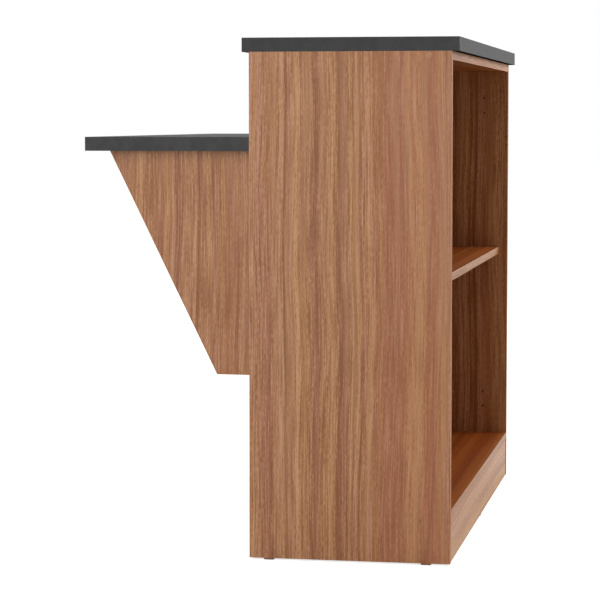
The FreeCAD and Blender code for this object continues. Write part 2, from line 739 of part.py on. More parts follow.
def glide_seats():
    """The glide's long side lies along its board, so it is turned under the two long boards."""
    seats = []
    for side in SIDES:
        for y in GLIDE_LINES:
            seats.append(seat(mirrored(side, "half_length - half_board"), y, "foot", "+X"))
    for y in ("kick_middle", "closing_middle"):
        seats.append(seat("0", y, "foot", "+Y"))
    return seats


def nail_seats():
    return [seat_on_foot(spot) for spot in glide_seats()]


def seat_on_foot(spot):
    """Turn a glide's place into its nail's: the same point, pointing up."""
    up = FreeCAD.Rotation(FreeCAD.Vector(1, 0, 0), FreeCAD.Vector(0, 0, 1))
    return FreeCAD.Placement(spot.Base, up)


for side in SIDES:
    make_side_panel(side)
make_level_board("base_board", "carcass_front", "base_bottom")
make_level_board("middle_shelf", "carcass_front + shelf_setback", "shelf_bottom",
                 end="side_face - shelf_end_gap")
make_carcass_top()
make_closing_panel()
make_kick_board()
make_worktop()
make_desk_top()
for side in SIDES:
    make_bracket(side)

cam_bolt = make_cam_bolt()
cam_lock = make_cam()
dowel = make_dowel()
carcass_screw = make_carcass_screw()
worktop_screw = make_worktop_screw()
screw_cap = make_cap()
shelf_pin = make_shelf_pin()
nail = make_glide_nail()
glide = make_glide()
doc.recompute()

set_out("cam_locks", cam_lock, cam_seats())
set_out("cam_bolts", cam_bolt, cam_seats())
set_out("dowels", dowel, dowel_seats())
set_out("carcass_screws", carcass_screw, carcass_screw_seats())
set_out("screw_caps", screw_cap, carcass_screw_seats())
set_out("shelf_pins", shelf_pin, shelf_pin_seats())
set_out("worktop_screws", worktop_screw,
        [seat(x, y, "carcass_top_bottom", "+Z", "+Y") for x, y in WORKTOP_SCREWS])
set_out("glides", glide, glide_seats())
set_out("glide_nails", nail, nail_seats())
doc.recompute()

# ---------------------------------------------------------------- check and write

for thing in doc.Objects:
    if "Invalid" in thing.State or "Error" in thing.State:
        raise RuntimeError(f"{thing.Label} failed: {thing.State}")
for node in NODES:
    if node.Shape.isNull() or not node.Shape.isValid():
        raise RuntimeError(f"{node.Label} has no valid shape")

os.makedirs("parts", exist_ok=True)
for node in NODES:
    node.Shape.exportStep(f"parts/{node.Label}.step")
    print(f"{node.Label}: {len(node.Shape.Solids)} solids, {node.Shape.Volume / 1000:.1f} cm3")
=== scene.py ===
import math

import bmesh
import bpy
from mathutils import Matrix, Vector


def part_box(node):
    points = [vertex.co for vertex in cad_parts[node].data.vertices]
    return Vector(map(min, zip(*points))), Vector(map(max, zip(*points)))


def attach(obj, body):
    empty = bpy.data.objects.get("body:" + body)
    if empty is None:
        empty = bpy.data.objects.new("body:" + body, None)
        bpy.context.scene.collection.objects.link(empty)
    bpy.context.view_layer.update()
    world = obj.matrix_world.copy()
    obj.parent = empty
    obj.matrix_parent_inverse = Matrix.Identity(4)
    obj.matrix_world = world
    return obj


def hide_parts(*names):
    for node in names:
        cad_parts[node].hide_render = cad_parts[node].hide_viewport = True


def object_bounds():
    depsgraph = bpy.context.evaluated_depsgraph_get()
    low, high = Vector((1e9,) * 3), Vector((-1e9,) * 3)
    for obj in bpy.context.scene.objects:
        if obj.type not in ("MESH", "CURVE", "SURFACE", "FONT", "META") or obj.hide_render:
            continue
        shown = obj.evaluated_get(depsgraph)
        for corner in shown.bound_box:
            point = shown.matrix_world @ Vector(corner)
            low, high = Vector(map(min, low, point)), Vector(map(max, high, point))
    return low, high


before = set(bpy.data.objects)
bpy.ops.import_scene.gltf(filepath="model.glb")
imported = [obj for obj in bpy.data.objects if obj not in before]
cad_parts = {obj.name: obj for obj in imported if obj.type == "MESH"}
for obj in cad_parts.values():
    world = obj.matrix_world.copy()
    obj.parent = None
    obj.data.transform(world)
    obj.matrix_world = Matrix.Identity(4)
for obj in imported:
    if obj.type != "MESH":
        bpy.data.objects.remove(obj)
cad_low, cad_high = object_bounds()

# ---------------------------------------------------------------- finishes

# Walnut-pattern melamine: its dark, brown, tan and pale streaks, its red heart, its veins and
# its honey-coloured lines.
WALNUT = [(0.215, 0.083, 0.030), (0.292, 0.123, 0.056), (0.364, 0.170, 0.088),
          (0.470, 0.252, 0.150), (0.338, 0.121, 0.054), (0.130, 0.045, 0.015),
          (0.385, 0.202, 0.101)]
# The level boards inside the cabinet get a darker, redder copy of the print: painted shade, with
# the reddish cast of light bounced about inside the cabinet.
INTERIOR_SHADE_WALNUT = [(0.180, 0.046, 0.010), (0.262, 0.067, 0.014), (0.338, 0.096, 0.020),
               (0.470, 0.162, 0.040), (0.310, 0.070, 0.015), (0.110, 0.025, 0.005),
               (0.375, 0.120, 0.026)]
# The tones at which the print is dark, brown, tan and pale.
TONES = (0.26, 0.43, 0.56, 0.78)
# The right side panel's inner face has stronger streaks than its outer face and is darkened by
# tints that are painted shade: the tones at which it takes each tint, and how much stronger its
# streaks are.
INNER_SHADE_TINTS = [(0.30, (0.89, 0.73, 0.43)), (0.72, (0.89, 0.75, 0.60))]
INNER_DEPTH = 0.40
# The board's raw core shows in its bores, from this many metres below its faces.
CHIPBOARD = (0.52, 0.28, 0.135)
PRINT_DEPTH = 0.0002

# The layers of the grain: features per metre across it, how many times longer they are along it,
# the slice of noise that they are cut from, and the noise's detail.
BENDS = (3.2, 1.5, 1.7, 1.0)
RIPPLES = (11.0, 2.6, 4.1, 1.0)
BROAD_STREAKS = (22.0, 60.0, 7.3, 1.0)
MEDIUM_STREAKS = (85.0, 36.0, 11.9, 3.0)
FINE_LINES = (420.0, 40.0, 15.2, 2.0)
COARSE_LINES = (190.0, 40.0, 15.2, 2.0)
SPECKLE = (760.0, 7.0, 9.9, 1.0)
HEARTS = (9.0, 14.0, 21.0, 1.0)
HONEY_LINES = (60.0, 70.0, 25.0, 1.0)
VEIN_FIELD = (7.5, 40.0, 31.0, 0.0)
HAIRS = (300.0, 80.0, 27.0, 1.0)
PORES = (1000.0, 12.0, 3.3, 1.0)

# How far the bends and the ripples push the streaks sideways, in metres.
BEND_SWING = 0.026
RIPPLE_SWING = 0.0030
# How far the broad and the medium streaks swing the tone, on a board whose main streaks are left
# to noise and on one whose main streaks are drawn, and how far the fine layers swing it.
FREE_SWINGS = (0.9, 0.5)
DRAWN_SWINGS = (0.25, 0.22)
FINE_SWING = 1.08
SPECKLE_SWING = 0.66
# How far a drawn streak of full strength moves the tone.
STREAK_SHIFTS = {"pale": 0.16, "dark": -0.19}

# Where a layer rises through these two values the print turns to the mark's own colour, by this
# share.
HEART_EDGE, HEART_SHARE = (0.48, 0.62), 0.45
HONEY_EDGE, HONEY_SHARE = (0.50, 0.64), 0.40
HAIR_EDGE, HAIR_SHARE = (0.58, 0.68), 0.24
PORE_EDGE, PORE_SHARE = (0.60, 0.72), 0.20
# Dark veins lie where a slow field crosses fixed values, so that they bow round one another: the
# values with the veins' half widths in the field's own measure, without and with drawn streaks.
FREE_VEINS = ((0.44, 0.006), (0.52, 0.004), (0.59, 0.005))
DRAWN_VEINS = ((0.50, 0.004),)
VEIN_SHARE = 0.26

# Across the grain the print turns from a rosy tint to a golden one and back: the layers of grain
# that it does so in, each with its swing.
ROSY = (0.985, 0.955, 1.0)
GOLDEN = (1.0, 1.0, 0.83)
HUE_LAYERS = [((26.0, 50.0, 66.0, 1.0), 1.6), ((95.0, 50.0, 135.0, 1.0), 1.3),
              ((380.0, 50.0, 420.0, 1.0), 0.9)]
# Streaks at least this many millimetres from middle to edge turn golden where they are pale and
# rosy where they are dark, by so much for each unit of tone.
WIDE_STREAK = 6.0
GOLDEN_SHARE = 2.4

# The fine lines' share in the sheen and the relief, where the pores count in full.
LINE_SHARE = 0.6
# How far the roughness goes below and above the print's own.
GLOSSIER, DULLER = 0.05, 0.10
# The depth of the relief in metres, and the share of it on boards with drawn-out grain.
RELIEF = 0.00004
DRAWN_OUT_RELIEF = 0.25

# Millimetres in a metre.
MILLIMETRES = 1000.0

# Charcoal melamine, where it is plain and where it is a little paler.
CHARCOAL = (0.030, 0.030, 0.030)
CHARCOAL_LIGHT = (0.038, 0.038, 0.038)


def shaded(palette, red, green=None, blue=None):
    """A palette made paler or darker, by one share or by a share for each part of its colours."""
    shares = (red, green or red, blue or red)
    return [tuple(share * part for share, part in zip(shares, colour)) for colour in palette]


# The drawn streaks of the boards that show most: each has its distance from the board's first
# edge and its half width in millimetres, and its strength.
LEFT_SIDE_FIGURE = {
    "pale": [(6, 7, 0.5), (16, 9, 0.3), (58, 8, 0.9), (86, 16, 0.7), (88, 6, 0.9), (150, 9, 0.5),
             (184, 4, 0.8), (195, 4, 1.0), (217, 7, 0.7), (290, 5, 0.7), (299, 5, 0.6),
             (308, 5, 0.2), (347, 8, 0.3)],
    "dark": [(37, 8, 0.4), (66, 4.5, 1.3), (121, 9, 1.0), (165, 8, 1.1), (173, 6, 0.4),
             (189, 3, 1.0), (201, 3.5, 0.8), (228, 6, 0.5), (243, 9, 0.4), (254, 4, 0.7),
             (265, 3.5, 0.6), (275, 4, 0.7), (322, 16, 0.6), (333, 7, 0.5), (356, 5, 0.5)],
    "red": [(34, 16, 0.3), (270, 95, 0.9), (338, 40, 0.9)],
}
LEFT_BRACKET_FIGURE = {
    "pale": [(19, 7, 0.7), (81, 9, 0.7), (107, 5, 1.2), (122, 6, 0.5), (148, 6, 0.5), (158, 8, 0.4),
             (208, 8, 1.1)],
    "dark": [(2, 4, 0.5), (28, 6, 0.6), (49, 8, 0.5), (63, 5, 0.4), (74, 4, 0.5), (100, 3, 0.8),
             (139, 8, 0.9), (178, 8, 0.6)],
    "red": [(43, 30, 0.6), (165, 22, 0.3)],
}
RIGHT_SIDE_FIGURE = {
    "pale": [(12, 10, 0.5), (24, 10, 0.4), (58, 8, 0.5), (90, 4, 1.0), (100, 4, 0.9),
             (140, 12, 0.8), (215, 14, 0.6)],
    "dark": [(41, 10, 0.3), (69, 9, 0.6), (69, 3.5, 2.8), (80, 3, 0.8), (112, 10, 0.6),
             (176, 9, 0.6), (262, 10, 0.7), (318, 8, 0.5)],
    "red": [(46, 22, 0.9), (240, 25, 0.6)],
}


class Finish:
    """A material with short ways to add and join nodes."""

    def __init__(self, name, metallic=0.0, specular=0.5):
        self.material = bpy.data.materials.new(name)
        self.material.use_nodes = True
        self.nodes = self.material.node_tree.nodes
        self.links = self.material.node_tree.links
        self.shader = self.nodes["Principled BSDF"]
        self.shader.inputs["Metallic"].default_value = metallic
        self.shader.inputs["Specular IOR Level"].default_value = specular

    def add(self, kind, **settings):
        node = self.nodes.new(kind)
        for key, setting in settings.items():
            setattr(node, key, setting)
        return node

    def join(self, source, target):
        self.links.new(source, target)

    def feed(self, node, values):
        """Set or join a node's inputs, by place, from numbers, tuples or other nodes' outputs."""
        for place, item in values.items():
            if isinstance(item, bpy.types.NodeSocket):
                self.links.new(item, node.inputs[place])
            else:
                node.inputs[place].default_value = item
        return node

    def place(self):
        """Where each point lies in the object's own frame, in metres."""
        return self.add("ShaderNodeTexCoord").outputs["Object"]

    def maths(self, operation, first, second=0.0):
        node = self.add("ShaderNodeMath", operation=operation)
        return self.feed(node, {0: first, 1: second}).outputs[0]

    def vector(self, x, y, z):
        return self.feed(self.add("ShaderNodeCombineXYZ"), {0: x, 1: y, 2: z}).outputs[0]

    def noise(self, vector, scale=1.0, detail=2.0):
        node = self.add("ShaderNodeTexNoise", noise_dimensions="3D")
        inputs = {"Vector": vector, "Scale": scale, "Detail": detail, "Roughness": 0.5}
        return self.feed(node, inputs).outputs["Fac"]

    def step(self, value, low, high):
        """Bring a value that runs from low to high to the range from 0 to 1, with soft ends."""
        node = self.add("ShaderNodeMapRange", interpolation_type="SMOOTHSTEP")
        return self.feed(node, {0: value, 1: low, 2: high}).outputs[0]

    def blend(self, share, first, second, kind="MIX"):
        node = self.add("ShaderNodeMix", data_type="RGBA", blend_type=kind)
        colours = [item if isinstance(item, bpy.types.NodeSocket) else (*item, 1.0)
                   for item in (first, second)]
        return self.feed(node, {0: share, 6: colours[0], 7: colours[1]}).outputs[2]

    def ramp(self, value, stops):
        """Turn a value into a colour, from stops that each have a position and a colour."""
        node = self.add("ShaderNodeValToRGB")
        elements = node.color_ramp.elements
        while len(elements) < len(stops):
            elements.new(0.5)
        for element, (position, colour) in zip(elements, stops):
            element.position = position
            element.color = (*colour, 1.0)
        self.join(value, node.inputs[0])
        return node.outputs[0]

    def clouds(self, scale, stops, detail=3.0):
        """Colour the surface in soft clouds, and give its places and the clouds' noise."""
        place = self.place()
        cloud = self.noise(place, scale, detail)
        self.join(self.ramp(cloud, stops), self.shader.inputs["Base Color"])
        return place, cloud

    def sheen_from(self, noise, glossiest, dullest):
        """Let the roughness follow noise that runs from nought to one."""
        node = self.feed(self.add("ShaderNodeMapRange"), {0: noise, 3: glossiest, 4: dullest})
        self.join(node.outputs[0], self.shader.inputs["Roughness"])

    def bump(self, height, distance):
        """Raise the surface by a height, of which one is so many metres."""
        node = self.add("ShaderNodeBump")
        self.feed(node, {"Height": height, "Distance": distance, "Strength": 1.0})
        self.join(node.outputs[0], self.shader.inputs["Normal"])


def walnut(name, along, across, start=(0.0, 0.0), figure=None, first_edge=0.0, inwards=1.0,
           palette=WALNUT, contrast=1.0, texture=1.0, lines=FINE_LINES, length=1.0,
           hue_swing=1.0, veining=1.0, inner_below=None, board=None, roughness=0.42,
           specular=0.24):
    """Printed walnut: streaks that run along one axis and wander slowly across the others.

    start cuts each board from its own part of the pattern, and length draws its grain out. A
    figure's streaks are counted from first_edge, up the axis or down it where inwards is -1. The
    inner face, where the third axis is below inner_below, has stronger streaks and a painted shade
    tint. Inside the box given as board, which is where the bores are, the raw core shows.
    """
    finish = Finish(name, specular=specular)
    dark, brown, tan, pale, heart, vein, honey = palette
    split = finish.feed(finish.add("ShaderNodeSeparateXYZ"), {0: finish.place()})
    axis = {"X": split.outputs[0], "Y": split.outputs[1], "Z": split.outputs[2]}
    run = finish.maths("ADD", axis[along], start[0])
    other = ({"X", "Y", "Z"} - {along, across}).pop()
    side = finish.maths("ADD", finish.maths("ADD", axis[across], axis[other]), start[1])

    def grain(layer, source):
        """Noise for one layer of the grain, by its places across the grain."""
        per_metre, stretch, cut, detail = layer
        x = finish.maths("MULTIPLY", source, per_metre)
        y = finish.maths("MULTIPLY", run, per_metre / (stretch * length))
        return finish.noise(finish.vector(x, y, cut), detail=detail)

    def swing(noise, span):
        """Bring noise about a half to a swing about nought."""
        return finish.maths("MULTIPLY", finish.maths("SUBTRACT", noise, 0.5), span)

    wander = finish.maths("ADD", swing(grain(BENDS, side), BEND_SWING),
                          swing(grain(RIPPLES, side), RIPPLE_SWING))
    bent = finish.maths("ADD", side, wander)

    broad_swing, medium_swing = DRAWN_SWINGS if figure else FREE_SWINGS
    fine = grain(lines, bent)
    wide = swing(grain(BROAD_STREAKS, bent), broad_swing * contrast)
    tone = finish.maths("ADD", wide, 0.5)
    for noise, span in ((grain(MEDIUM_STREAKS, bent), medium_swing * contrast),
                        (fine, FINE_SWING * texture),
                        (grain(SPECKLE, side), SPECKLE_SWING * texture)):
        tone = finish.maths("ADD", tone, swing(noise, span))

    if figure:
        offset = finish.maths("SUBTRACT", finish.maths("ADD", axis[across], wander), first_edge)
        distance = finish.maths("MULTIPLY", offset, MILLIMETRES * inwards)

        def streak(centre, half_width, strength):
            """A soft-edged streak of some strength, and nought beside it."""
            away = finish.maths("ABSOLUTE", finish.maths("SUBTRACT", distance, centre))
            return finish.maths("MULTIPLY", finish.step(away, half_width, 0.0), strength)

        for kind, shift in STREAK_SHIFTS.items():
            for centre, half_width, strength in figure[kind]:
                share = streak(centre, half_width, shift * strength)
                tone = finish.maths("ADD", tone, share)
                if half_width >= WIDE_STREAK:
                    wide = finish.maths("ADD", wide, share)
        red = 0.0
        for centre, half_width, strength in figure["red"]:
            red = finish.maths("ADD", red, streak(centre, half_width, strength))
    else:
        red = finish.step(grain(HEARTS, bent), *HEART_EDGE)

    if inner_below is not None:
        inner = finish.maths("LESS_THAN", axis[other], inner_below)
        depth = finish.maths("ADD", finish.maths("MULTIPLY", inner, INNER_DEPTH), 1.0)
        tone = finish.maths("ADD", swing(tone, depth), 0.5)

    colour = finish.ramp(tone, list(zip(TONES, (dark, brown, tan, pale))))
    colour = finish.blend(finish.maths("MULTIPLY", red, HEART_SHARE), colour, heart)
    honeyed = finish.step(grain(HONEY_LINES, bent), *HONEY_EDGE)
    colour = finish.blend(finish.maths("MULTIPLY", honeyed, HONEY_SHARE), colour, honey)

    field = grain(VEIN_FIELD, bent)
    for level, half_width in (DRAWN_VEINS if figure else FREE_VEINS):
        away = finish.maths("ABSOLUTE", finish.maths("SUBTRACT", field, level))
        share = finish.maths("MULTIPLY", finish.step(away, half_width, 0.0), VEIN_SHARE * veining)
        colour = finish.blend(share, colour, vein)

    hairs = finish.step(grain(HAIRS, bent), *HAIR_EDGE)
    colour = finish.blend(finish.maths("MULTIPLY", hairs, HAIR_SHARE * veining), colour, vein)

    hue = finish.maths("ADD", finish.maths("MULTIPLY", wide, GOLDEN_SHARE), 0.5)
    for layer, span in HUE_LAYERS:
        hue = finish.maths("ADD", hue, swing(grain(layer, bent), span * hue_swing))
    tint = finish.ramp(hue, [(0.2, ROSY), (0.8, GOLDEN)])
    colour = finish.blend(1.0, colour, tint, kind="MULTIPLY")

    # Short pores darken the print and are pressed into the surface.
    pores = finish.step(grain(PORES, side), *PORE_EDGE)
    colour = finish.blend(finish.maths("MULTIPLY", pores, PORE_SHARE * veining), colour, vein)
    # On the inner face the colour is darkened by tints: painted shade.
    if inner_below is not None:
        colour = finish.blend(inner, colour, finish.ramp(tone, INNER_SHADE_TINTS), kind="MULTIPLY")
    if board:
        bored = 1.0
        for part, low, high in zip(axis.values(), *board):
            away = finish.maths("ABSOLUTE", finish.maths("SUBTRACT", part, (low + high) / 2))
            within = finish.maths("LESS_THAN", away, (high - low) / 2 - PRINT_DEPTH)
            bored = finish.maths("MULTIPLY", bored, within)
        colour = finish.blend(bored, colour, CHIPBOARD)
    finish.join(colour, finish.shader.inputs["Base Color"])
    finish.sheen_from(finish.maths("ADD", swing(fine, LINE_SHARE), pores),
                      roughness - GLOSSIER, roughness + DULLER)
    relief = finish.maths("SUBTRACT", finish.maths("MULTIPLY", fine, LINE_SHARE), pores)
    finish.bump(relief, RELIEF * (texture if length == 1.0 else DRAWN_OUT_RELIEF))
    return finish.material


def charcoal(name, lightness, specular):
    """Plain charcoal melamine with a faint pebbled press texture."""
    finish = Finish(name, specular=specular)
    plain, light = shaded([CHARCOAL, CHARCOAL_LIGHT], lightness)
    place, _ = finish.clouds(60.0, [(0.35, plain), (0.65, light)])
    pebble = finish.noise(place, scale=1400.0)
    finish.sheen_from(pebble, 0.62, 0.78)
    finish.bump(pebble, 0.00008)
    return finish.material


def metal(name, colour, worn, roughness):
    """Cast or plated metal that is paler and duller where it is worn."""
    finish = Finish(name, metallic=1.0)
    place, cloud = finish.clouds(500.0, [(0.35, colour), (0.7, worn)])
    finish.sheen_from(cloud, roughness - 0.12, roughness + 0.12)
    finish.bump(finish.noise(place, scale=2500.0), 0.00005)
    return finish.material


def moulded(name, colour, worn, roughness):
    """A small plastic, film or beech fitting with slight clouds and a fine surface."""
    finish = Finish(name)
    place, cloud = finish.clouds(180.0, [(0.35, colour), (0.65, worn)])
    finish.sheen_from(cloud, roughness - 0.10, roughness + 0.10)
    finish.bump(finish.noise(place, scale=3000.0, detail=1.0), 0.00006)
    return finish.material


def dress(material, *nodes):
    """Give CAD pieces a finish."""
    for node in nodes:
        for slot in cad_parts[node].material_slots:
            slot.material = material


left_side_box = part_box("left_side_panel")
right_side_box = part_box("right_side_panel")
left_bracket_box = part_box("left_bracket")
dress(walnut("walnut_left_side", "Z", "Y", figure=LEFT_SIDE_FIGURE,
             first_edge=left_side_box[1].y, inwards=-1.0, board=left_side_box), "left_side_panel")
dress(walnut("walnut_right_side", "Z", "Y", start=(3.1, 0.74), figure=RIGHT_SIDE_FIGURE,
             first_edge=right_side_box[0].y, contrast=1.3, texture=0.8, hue_swing=1.2,
             inner_below=(right_side_box[0].x + right_side_box[1].x) / 2, board=right_side_box,
             roughness=0.34, specular=0.20), "right_side_panel")
dress(walnut("walnut_left_bracket", "Z", "Y", start=(5.3, 1.9), figure=LEFT_BRACKET_FIGURE,
             first_edge=left_bracket_box[0].y, contrast=0.85, texture=0.88), "left_bracket")
dress(walnut("walnut_right_bracket", "Z", "Y", start=(7.7, 2.6)), "right_bracket")
dress(walnut("walnut_closing_panel", "X", "Z", start=(2.0, 4.4)), "closing_panel")
# Paler print on the kick board: painted reflection at a grazing angle, beside its real specular.
dress(walnut("walnut_kick_board", "X", "Z", start=(9.2, 6.1),
             palette=shaded(WALNUT, 1.29, 1.38, 1.37), contrast=1.1, texture=0.8, length=3.0,
             veining=0.45, roughness=0.45, specular=0.38), "kick_board")
# The red, green and blue shares of the darker print on each level board: painted shade, deepest on
# the carcass top.
LEVEL_BOARD_SHADES = {"base_board": (0.83, 0.72, 0.66), "middle_shelf": (0.82, 0.69, 0.74),
                "carcass_top": (0.61, 0.60, 0.42)}
for number, (node, shares) in enumerate(LEVEL_BOARD_SHADES.items()):
    dress(walnut("walnut_" + node, "X", "Y", start=(1.3 + number, 8.2 + 1.7 * number),
                 palette=shaded(INTERIOR_SHADE_WALNUT, *shares), contrast=1.6, texture=0.75,
                 lines=COARSE_LINES, length=5.0, hue_swing=0.45, veining=0.25, roughness=0.36,
                 specular=0.06), node)
# Paler copies of the print on the edge bands: painted reflection at a grazing angle.
dress(walnut("walnut_upright_bands", "Z", "Y", start=(4.4, 3.3), palette=shaded(WALNUT, 1.14),
             roughness=0.50, specular=0.05),
      "left_side_band", "right_side_band", "left_bracket_bands", "right_bracket_bands")
dress(walnut("walnut_level_bands", "X", "Y", start=(6.6, 5.5),
             palette=shaded(WALNUT, 1.14, 1.16, 1.08), length=3.0, roughness=0.45,
             specular=0.32), "base_board_band", "middle_shelf_band")
# The top band's own tint of the print, matched to how it is lit under the worktop's edge: painted
# light.
dress(walnut("walnut_top_band", "X", "Y", start=(8.1, 2.7),
             palette=shaded(WALNUT, 1.17, 1.04, 0.72), roughness=0.50, specular=0.10),
      "carcass_top_band")
# Counter and desk tops are one charcoal; the desk's lighter copy is painted light.
dress(charcoal("charcoal_counter", 0.95, 0.30), "counter_top", "counter_top_bands")
dress(charcoal("charcoal_desk", 1.42, 0.16), "desk_top", "desk_top_bands")
dress(metal("cast_zinc", (0.42, 0.43, 0.44), (0.58, 0.59, 0.6), 0.45), "cam_locks")
dress(metal("plated_steel", (0.55, 0.55, 0.53), (0.7, 0.7, 0.68), 0.3), "cam_bolts",
      "carcass_screws", "worktop_screws", "shelf_pins", "glide_nails")
dress(moulded("beech", (0.52, 0.35, 0.2), (0.62, 0.44, 0.27), 0.6), "dowels")
dress(moulded("glide_plastic", (0.17, 0.085, 0.05), (0.2, 0.1, 0.06), 0.5), "glides")

# ---------------------------------------------------------------- screw caps

CAP_SIDES = 48
# The cap's rim, from the board outwards: share of its radius and share of its thickness.
CAP_RIM = [(1.0, 0.0), (1.0, 0.45), (0.975, 0.80), (0.925, 1.0)]
# Corners nearer to each other than this, in metres, are one corner.
WELD = 1e-6


class Tree:
    """A Geometry Nodes tree with named sizes and short ways to add and join nodes."""

    def __init__(self, name, sizes):
        self.group = bpy.data.node_groups.new(name, "GeometryNodeTree")
        interface = self.group.interface
        interface.new_socket("Places", in_out="INPUT", socket_type="NodeSocketGeometry")
        self.sockets = {}
        for size, start in sizes.items():
            self.sockets[size] = interface.new_socket(size, in_out="INPUT",
                                                      socket_type="NodeSocketFloat")
            self.sockets[size].default_value = start
        interface.new_socket("Pieces", in_out="OUTPUT", socket_type="NodeSocketGeometry")
        self.given = self.group.nodes.new("NodeGroupInput").outputs
        self.result = self.group.nodes.new("NodeGroupOutput").inputs[0]

    def add(self, kind, inputs=None, **settings):
        node = self.group.nodes.new(kind)
        for key, setting in settings.items():
            setattr(node, key, setting)
        for place, item in (inputs or {}).items():
            if isinstance(item, bpy.types.NodeSocket):
                self.group.links.new(item, node.inputs[place])
            else:
                node.inputs[place].default_value = item
        return node

    def maths(self, operation, first, second):
        return self.add("ShaderNodeMath", {0: first, 1: second}, operation=operation).outputs[0]


def cap_tree(material):
    """A round cap with an eased rim, set on each place and turned the way that the place faces."""
    tree = Tree("screw_cap", {"Diameter": 0.011, "Thickness": 0.0006})
    radius = tree.maths("MULTIPLY", tree.given["Diameter"], 0.5)
    disc = tree.add("GeometryNodeMeshCircle", {"Vertices": CAP_SIDES, "Radius": radius},
                    fill_type="NGON").outputs[0]
    shape, top = disc, None
    for (wide, low), (narrow, high) in zip(CAP_RIM, CAP_RIM[1:]):
        rise = tree.maths("MULTIPLY", tree.given["Thickness"], high - low)
        offset = tree.add("ShaderNodeCombineXYZ", {2: rise}).outputs[0]
        inputs = {"Mesh": shape, "Offset": offset, "Individual": False}
        if top:
            inputs["Selection"] = top
        raised = tree.add("GeometryNodeExtrudeMesh", inputs, mode="FACES")
        top = raised.outputs["Top"]
        shape = tree.add("GeometryNodeScaleElements",
                         {"Geometry": raised.outputs["Mesh"], "Selection": top,
                          "Scale": narrow / wide}, domain="FACE").outputs[0]
    back = tree.add("GeometryNodeFlipFaces", {0: disc}).outputs[0]
    both = tree.add("GeometryNodeJoinGeometry")
    for part in (shape, back):
        tree.group.links.new(part, both.inputs[0])
    cap = tree.add("GeometryNodeMergeByDistance",
                   {"Geometry": both.outputs[0], "Distance": WELD}).outputs[0]
    facing = tree.add("GeometryNodeInputNamedAttribute", {"Name": "facing"},
                      data_type="FLOAT_VECTOR").outputs[0]
    turn = tree.add("FunctionNodeAlignRotationToVector", {"Vector": facing},
                    axis="Z").outputs[0]
    caps = tree.add("GeometryNodeInstanceOnPoints",
                    {"Points": tree.given["Places"], "Instance": cap, "Rotation": turn}).outputs[0]
    real = tree.add("GeometryNodeRealizeInstances", {0: caps}).outputs[0]
    finished = tree.add("GeometryNodeSetMaterial",
                        {"Geometry": real, "Material": material}).outputs[0]
    tree.group.links.new(finished, tree.result)
    return tree


def separate_boxes(node):
    """The lowest and highest corners of each separate solid in a CAD piece."""
    copy = bmesh.new()
    copy.from_mesh(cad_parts[node].data)
    bmesh.ops.remove_doubles(copy, verts=copy.verts, dist=WELD)
    left = dict.fromkeys(copy.verts)
    boxes = []
    while left:
        reached = [left.popitem()[0]]
        for vertex in reached:
            for edge in vertex.link_edges:
                other = edge.other_vert(vertex)
                if other in left:
                    del left[other]
                    reached.append(other)
        boxes.append((Vector([min(vertex.co[i] for vertex in reached) for i in range(3)]),
                      Vector([max(vertex.co[i] for vertex in reached) for i in range(3)])))
    copy.free()
    return boxes


def make_screw_caps(material):
    """Caps on the outsides of the side panels, and on the closing panel inside the cabinet."""
    seats, facings = [], []
    for low, high in separate_boxes("screw_caps"):
        size, middle = high - low, (low + high) / 2
        on_side = size.x < size.y
        facing = Vector((math.copysign(1, middle.x), 0, 0)) if on_side else Vector((0, -1, 0))
        thickness = size.x if on_side else size.y
        seats.append(middle - facing * thickness / 2)
        facings.append(facing)
    places = bpy.data.meshes.new("screw_cap_places")
    places.from_pydata(seats, [], [])
    attribute = places.attributes.new("facing", "FLOAT_VECTOR", "POINT")
    for item, facing in zip(attribute.data, facings):
        item.vector = facing
    holder = bpy.data.objects.new("screw_cap_places", places)
    bpy.context.collection.objects.link(holder)
    # The caps are all of one size, so the last one's serves for them all.
    tree = cap_tree(material)
    modifier = holder.modifiers.new("caps", "NODES")
    modifier.node_group = tree.group
    modifier[tree.sockets["Diameter"].identifier] = size.z
    modifier[tree.sockets["Thickness"].identifier] = thickness
    depsgraph = bpy.context.evaluated_depsgraph_get()
    mesh = bpy.data.meshes.new_from_object(holder.evaluated_get(depsgraph), depsgraph=depsgraph)
    bpy.data.objects.remove(holder)
    mesh.name = "rimmed_screw_caps"
    caps = bpy.data.objects.new("rimmed_screw_caps", mesh)
    bpy.context.collection.objects.link(caps)
    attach(caps, "root")
    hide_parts("screw_caps")


make_screw_caps(moulded("cap_film", (0.31, 0.139, 0.054), (0.36, 0.170, 0.069), 0.5))

# ---------------------------------------------------------------- painted shade under the worktop

# The sheet's thickness, and how far it stays inside the edges of each overhang, in metres.
SHADE_SHEET_THICKNESS = 0.00015
SHADE_SHEET_MARGIN = 0.0003
# The two tints of its dull black, which is painted shade.
SHADE_SHEET_BLACK = (0.006, 0.005, 0.005)
SHADE_SHEET_GREY = (0.010, 0.009, 0.008)


